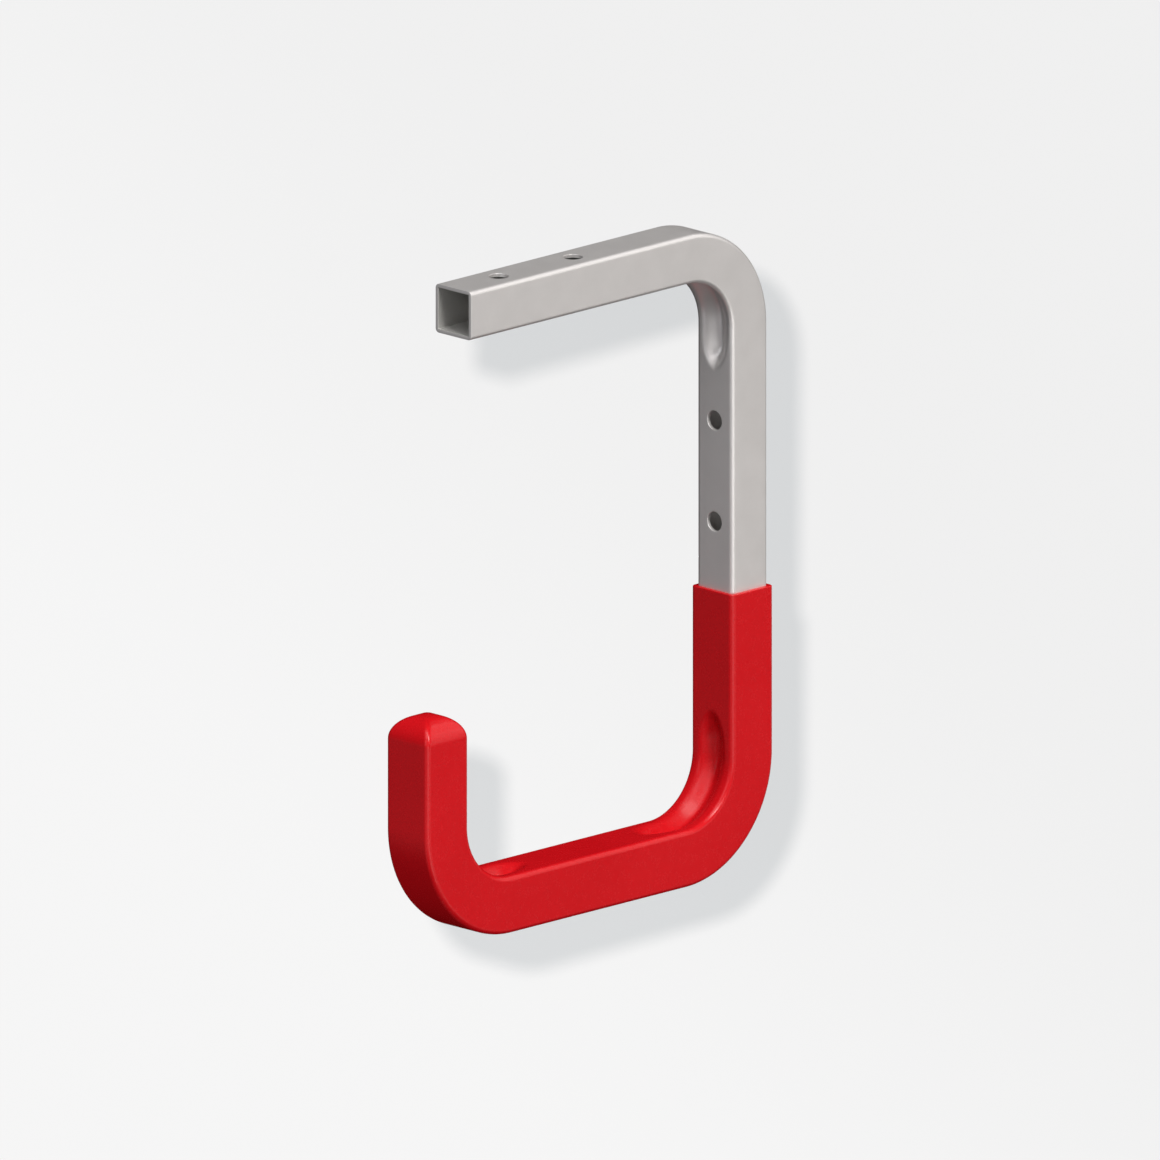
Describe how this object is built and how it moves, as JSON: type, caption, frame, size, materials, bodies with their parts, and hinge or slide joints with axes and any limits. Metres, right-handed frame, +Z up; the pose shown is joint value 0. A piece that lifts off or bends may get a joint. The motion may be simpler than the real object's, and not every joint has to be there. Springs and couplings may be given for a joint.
{
  "type": "garage utility hook",
  "caption": "Square steel tube bent into a deep C-shaped storage hook, its hanging part in a soft red coat with a closed end, drilled for wall or ceiling screws.",
  "frame": {"origin": "middle of the two wall holes, on the tube's back face, which lies on the wall", "axes": "+Z up along the wall arm, +Y into the wall, so the hook reaches out along -Y; +X across the tube's width"},
  "size_m": [0.0234, 0.1942, 0.2666],
  "materials": {
    "zinc_steel": "satin zinc-nickel plating, faintly warm grey",
    "red_coat": "smooth satin dipped vinyl coat"
  },
  "bodies": {
    "root": {"steel_tube": "zinc_steel", "grip_coat": "red_coat"}
  },
  "joints": []
}
